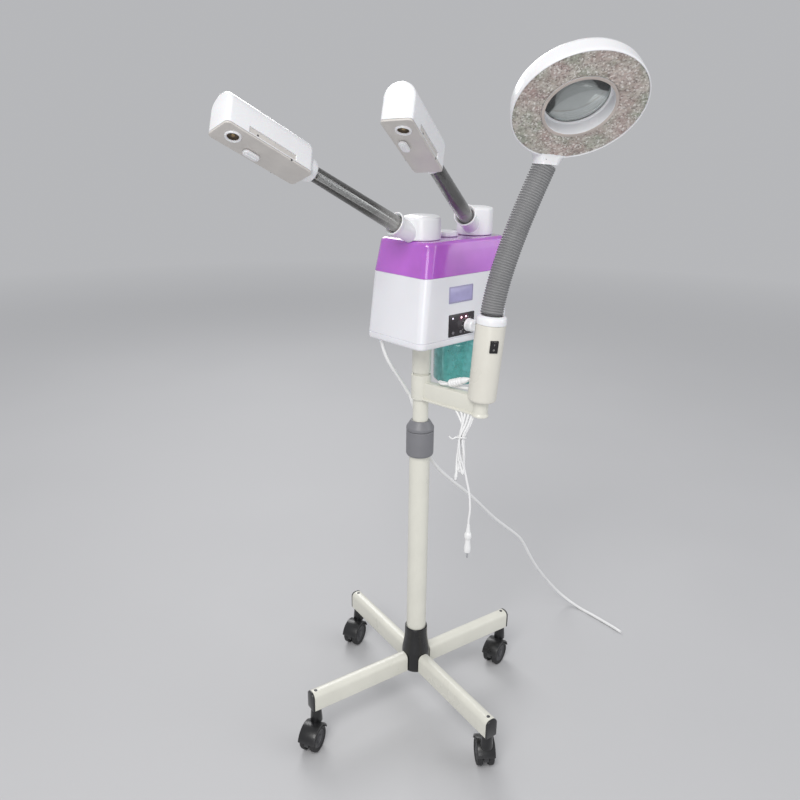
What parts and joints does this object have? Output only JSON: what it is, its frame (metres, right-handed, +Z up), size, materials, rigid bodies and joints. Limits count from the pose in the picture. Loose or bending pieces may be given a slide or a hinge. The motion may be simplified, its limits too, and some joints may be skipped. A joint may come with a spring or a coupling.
{
  "type": "facial steamer with magnifier lamp",
  "caption": "Salon facial steamer: a cased boiler with two swivelling steam arms and a gooseneck magnifier lamp, on a telescopic pole with a cross base on casters.",
  "frame": {"origin": "centre of the base hub's flat underside, on the pole's axis, 78 mm above the floor", "axes": "+Z up; -Y is the front, the side the control panel faces; +X is to the right of someone facing the panel"},
  "size_m": [0.8907, 0.5577, 1.209],
  "materials": {
    "black_plastic": "satin moulded black",
    "tyre_rubber": "smooth dark tread",
    "cream_steel": "cream powder coat, semi-gloss",
    "grey_plastic": "mid-grey moulded",
    "nylon": "natural nylon",
    "cream_plastic": "cream, semi-gloss",
    "white_plastic": "bright white, glossy",
    "purple_clear": "translucent purple, polished",
    "display_blue": "lavender display window",
    "panel_black": "gloss black",
    "button_grey": "dark grey button cap",
    "jar_teal": "teal translucent",
    "steel": "drawn tube",
    "board_green": "circuit board with components",
    "silicone": "soft silicone tube",
    "clear_glass": "clear",
    "hose_grey": "ribbed grey sleeve over a gooseneck",
    "diffuser": "prismatic clear ring",
    "cord_white": "white cord jacket"
  },
  "bodies": {
    "stand": {"base_hub": "black_plastic", "leg_1": "cream_steel", "leg_2": "cream_steel", "leg_3": "cream_steel", "leg_4": "cream_steel", "leg_end_cap_1": "black_plastic", "leg_end_cap_2": "black_plastic", "leg_end_cap_3": "black_plastic", "leg_end_cap_4": "black_plastic", "outer_tube": "cream_steel", "collar_sleeve": "grey_plastic", "collar_bush": "nylon", "mains_cord": "cord_white"},
    "caster_1": {"caster_hood_1": "black_plastic"},
    "wheels_1": {"caster_wheels_1": "tyre_rubber"},
    "caster_2": {"caster_hood_2": "black_plastic"},
    "wheels_2": {"caster_wheels_2": "tyre_rubber"},
    "caster_3": {"caster_hood_3": "black_plastic"},
    "wheels_3": {"caster_wheels_3": "tyre_rubber"},
    "caster_4": {"caster_hood_4": "black_plastic"},
    "wheels_4": {"caster_wheels_4": "tyre_rubber"},
    "collar_nut": {"collar_nut": "grey_plastic"},
    "mast": {"inner_tube": "cream_steel"},
    "lamp_arm": {"lamp_bracket": "cream_steel", "lamp_cord": "cord_white"},
    "lamp_post": {"lamp_post": "cream_plastic", "post_cap": "white_plastic"},
    "rocker_switch": {"rocker_switch": "panel_black"},
    "hose_lower": {"hose_lower": "hose_grey"},
    "hose_middle": {"hose_middle": "hose_grey"},
    "lamp_head": {"hose_upper": "hose_grey", "lamp_neck": "white_plastic", "lamp_housing": "white_plastic", "lamp_diffuser": "diffuser", "magnifier_lens": "clear_glass"},
    "steamer": {"body_socket": "cream_steel", "base_plate": "white_plastic", "casing_shell": "white_plastic", "top_cover": "purple_clear", "display_window": "display_blue", "control_panel": "panel_black", "control_board": "board_green", "jar_head": "white_plastic", "heater_element": "steel", "steam_pipes": "silicone"},
    "power_button": {"power_button": "button_grey"},
    "mode_button": {"mode_button": "button_grey"},
    "timer_knob": {"timer_knob": "white_plastic"},
    "filler_cap": {"filler_cap": "white_plastic"},
    "water_jar": {"water_jar": "jar_teal"},
    "turret_left": {"turret_left": "white_plastic", "arm_tube_left": "clear_glass"},
    "turret_right": {"turret_right": "white_plastic", "arm_tube_right": "clear_glass"},
    "head_left": {"spray_head_left": "white_plastic", "head_cover_left": "white_plastic"},
    "head_right": {"spray_head_right": "white_plastic", "head_cover_right": "white_plastic"},
    "oil_cap_left": {"oil_cap_left": "white_plastic"},
    "oil_cap_right": {"oil_cap_right": "white_plastic"}
  },
  "joints": [
    {"name": "caster_1_swivel", "type": "hinge", "parent": "stand", "child": "caster_1", "pos_m": [0.22324, -0.03257, -0.018], "axis": [0, 0, 1], "continuous": true},
    {"name": "wheels_1_roll", "type": "hinge", "parent": "caster_1", "child": "wheels_1", "pos_m": [0.20659, -0.03601, -0.053], "axis": [0.2028, -0.9792, 0], "continuous": true},
    {"name": "caster_2_swivel", "type": "hinge", "parent": "stand", "child": "caster_2", "pos_m": [0.03257, 0.22324, -0.018], "axis": [0, 0, 1], "continuous": true},
    {"name": "wheels_2_roll", "type": "hinge", "parent": "caster_2", "child": "wheels_2", "pos_m": [0.01677, 0.21695, -0.053], "axis": [0.3698, -0.9291, 0], "continuous": true},
    {"name": "caster_3_swivel", "type": "hinge", "parent": "stand", "child": "caster_3", "pos_m": [-0.22324, 0.03257, -0.018], "axis": [0, 0, 1], "continuous": true},
    {"name": "wheels_3_roll", "type": "hinge", "parent": "caster_3", "child": "wheels_3", "pos_m": [-0.23842, 0.02493, -0.053], "axis": [0.4493, -0.8934, 0], "continuous": true},
    {"name": "caster_4_swivel", "type": "hinge", "parent": "stand", "child": "caster_4", "pos_m": [-0.03257, -0.22324, -0.018], "axis": [0, 0, 1], "continuous": true},
    {"name": "wheels_4_roll", "type": "hinge", "parent": "caster_4", "child": "wheels_4", "pos_m": [-0.02203, -0.2099, -0.053], "axis": [-0.7848, 0.6198, 0], "continuous": true},
    {"name": "collar_nut_turn", "type": "hinge", "parent": "stand", "child": "collar_nut", "pos_m": [0, 0, 0.522], "axis": [0, 0, 1], "range_deg": [0, 90]},
    {"name": "mast_slide", "type": "slide", "parent": "stand", "child": "mast", "axis": [0, 0, 1], "range_m": [-0.035, 0.2]},
    {"name": "lamp_arm_swing", "type": "hinge", "parent": "mast", "child": "lamp_arm", "pos_m": [0, 0, 0.594], "axis": [0, 0, 1], "range_deg": [-25, 30]},
    {"name": "lamp_post_turn", "type": "hinge", "parent": "lamp_arm", "child": "lamp_post", "pos_m": [0.0145, -0.1298, 0.598], "axis": [0.0518, -0.0467, 0.9976], "range_deg": [-60, 20]},
    {"name": "rocker_press", "type": "hinge", "parent": "lamp_post", "child": "rocker_switch", "pos_m": [0.00976, -0.15282, 0.69541], "axis": [-0.8812, 0.4679, 0.0677], "range_deg": [0, 12]},
    {"name": "hose_bend_lower", "type": "hinge", "parent": "lamp_post", "child": "hose_lower", "pos_m": [0.02207, -0.13638, 0.74972], "axis": [0.2639, 0.9646, 0], "range_deg": [-8, 15]},
    {"name": "hose_bend_middle", "type": "hinge", "parent": "hose_lower", "child": "hose_middle", "pos_m": [0.04354, -0.13932, 0.82457], "axis": [0.2639, 0.9646, 0], "range_deg": [-8, 15]},
    {"name": "hose_bend_upper", "type": "hinge", "parent": "hose_middle", "child": "lamp_head", "pos_m": [0.07112, -0.14663, 0.89591], "axis": [0.2639, 0.9646, 0], "range_deg": [-8, 15]},
    {"name": "steamer_turn", "type": "hinge", "parent": "mast", "child": "steamer", "pos_m": [0, 0, 0.672], "axis": [0, 0, 1], "range_deg": [-35, 20]},
    {"name": "power_button_press", "type": "slide", "parent": "steamer", "child": "power_button", "axis": [0, 1, 0], "range_m": [0, 0.001]},
    {"name": "mode_button_press", "type": "slide", "parent": "steamer", "child": "mode_button", "axis": [0, 1, 0], "range_m": [0, 0.001]},
    {"name": "timer_turn", "type": "hinge", "parent": "steamer", "child": "timer_knob", "pos_m": [0.048, -0.061, 0.709], "axis": [0, 1, 0], "range_deg": [0, 300]},
    {"name": "filler_cap_turn", "type": "hinge", "parent": "steamer", "child": "filler_cap", "pos_m": [0.049, -0.004, 0.852], "axis": [0, 0, 1], "range_deg": [0, 90]},
    {"name": "water_jar_lower", "type": "slide", "parent": "steamer", "child": "water_jar", "axis": [0, 0, 1], "range_m": [-0.08, 0]},
    {"name": "turret_left_turn", "type": "hinge", "parent": "steamer", "child": "turret_left", "pos_m": [-0.015, -0.01, 0.862], "axis": [0, 0, 1], "range_deg": [-120, 10]},
    {"name": "turret_right_turn", "type": "hinge", "parent": "steamer", "child": "turret_right", "pos_m": [0.111, -0.01, 0.862], "axis": [0, 0, 1], "range_deg": [-5, 18]},
    {"name": "head_left_twist", "type": "hinge", "parent": "turret_left", "child": "head_left", "pos_m": [-0.0757, -0.01, 0.88], "axis": [-0.891, 0, 0.454], "range_deg": [-60, 60]},
    {"name": "head_right_twist", "type": "hinge", "parent": "turret_right", "child": "head_right", "pos_m": [0.05654, -0.0368, 0.888], "axis": [-0.7995, -0.3934, 0.454], "range_deg": [-60, 60]},
    {"name": "oil_cap_left_pull", "type": "slide", "parent": "head_left", "child": "oil_cap_left", "axis": [-0.4098, -0.4305, -0.8042], "range_m": [0, 0.012]},
    {"name": "oil_cap_right_pull", "type": "slide", "parent": "head_right", "child": "oil_cap_right", "axis": [-0.378, -0.2579, -0.8891], "range_m": [0, 0.012]}
  ],
  "couplings": [
    {"joint": "hose_bend_middle", "follows": "hose_bend_lower", "ratio": 1},
    {"joint": "hose_bend_upper", "follows": "hose_bend_lower", "ratio": 1}
  ]
}
